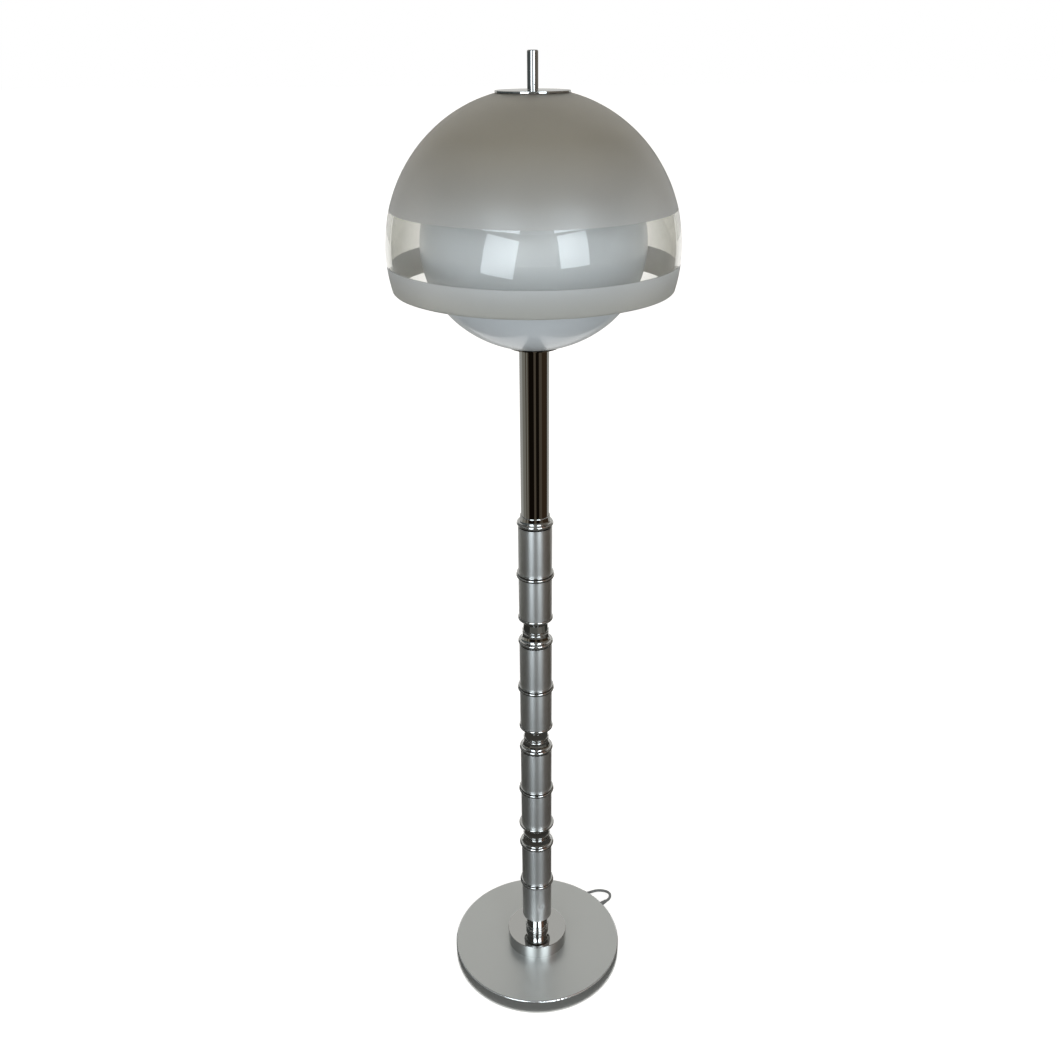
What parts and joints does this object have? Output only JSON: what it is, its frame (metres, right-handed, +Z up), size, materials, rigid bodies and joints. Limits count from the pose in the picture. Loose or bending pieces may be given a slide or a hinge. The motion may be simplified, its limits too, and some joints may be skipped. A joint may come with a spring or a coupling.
{
  "type": "floor lamp",
  "caption": "Floor lamp with a glass dome over an opal bowl, a turned metal column and a weighted round base, with a mains cord.",
  "frame": {"origin": "on the floor, at the centre of the round base, which is also the middle of the lamp's box without its cord", "axes": "+Z up along the column, -Y towards the viewer of the front, +X to the viewer's right"},
  "size_m": [0.3929, 0.6664, 1.5137],
  "materials": {
    "satin_base": "satin",
    "cast_weight": "rough cast, painted",
    "rubber_black": "matte",
    "steel_inner": "zinc plated",
    "polished": "mirror polished",
    "turned_metal": "turned, half bright",
    "satin_sleeve": "satin, brushed around",
    "opal_glass": "opal, glossy outside",
    "dome_glass": "frosted, with a clear band",
    "bulb_glass": "opal",
    "white_enamel": "white enamel",
    "holder_plastic": "moulded",
    "brass_inner": "plain",
    "cord_grey": "soft PVC",
    "plastic_black": "moulded"
  },
  "bodies": {
    "stand": {"base_cover": "satin_base", "ballast": "cast_weight", "foot_ring": "rubber_black", "base_nut": "steel_inner", "puck": "polished", "foot_spool": "turned_metal", "lower_sleeve_1": "satin_sleeve", "mid_ring_1": "turned_metal", "upper_sleeve_1": "satin_sleeve", "collar_1": "turned_metal", "neck_1": "turned_metal", "lower_sleeve_2": "satin_sleeve", "mid_ring_2": "turned_metal", "upper_sleeve_2": "satin_sleeve", "collar_2": "turned_metal", "neck_2": "turned_metal", "lower_sleeve_3": "satin_sleeve", "mid_ring_3": "turned_metal", "upper_sleeve_3": "satin_sleeve", "collar_3": "turned_metal", "neck_3": "turned_metal", "lower_sleeve_4": "satin_sleeve", "mid_ring_4": "turned_metal", "upper_sleeve_4": "satin_sleeve", "collar_4": "turned_metal", "tie_rod": "steel_inner", "lower_plug": "steel_inner", "stem_tube": "polished", "upper_plug": "polished", "seat_plate": "polished", "bowl_pads": "rubber_black", "bowl": "opal_glass", "bowl_cone": "steel_inner", "inner_stem": "brass_inner", "holder_plate": "white_enamel", "lampholder_1": "holder_plastic", "lampholder_2": "holder_plastic", "lampholder_3": "holder_plastic", "bulb_1": "bulb_glass", "bulb_2": "bulb_glass", "bulb_3": "bulb_glass", "bulb_caps": "brass_inner", "top_rod": "polished", "carrier": "steel_inner", "carrier_pad": "rubber_black", "inner_lead": "cord_grey", "cord_boot": "cord_grey", "cord_run": "cord_grey", "cord_hank": "cord_grey", "hank_tie": "plastic_black", "switch_body": "plastic_black", "plug_body": "plastic_black", "plug_pins": "brass_inner"},
    "shade": {"dome": "dome_glass", "cap_pad": "rubber_black", "cap_plate": "polished"},
    "finial": {"finial": "polished"},
    "rocker": {"switch_rocker": "plastic_black"}
  },
  "joints": [
    {"name": "dome_lift", "type": "slide", "parent": "stand", "child": "shade", "axis": [0, 0, 1], "range_m": [0, 0.3]},
    {"name": "finial_turn", "type": "hinge", "parent": "shade", "child": "finial", "pos_m": [0, 0, 1.49], "axis": [0, 0, 1], "continuous": true},
    {"name": "switch_rock", "type": "hinge", "parent": "stand", "child": "rocker", "pos_m": [0.011, 0.21, 0.012], "axis": [1, 0, 0], "range_deg": [-14, 0]}
  ]
}
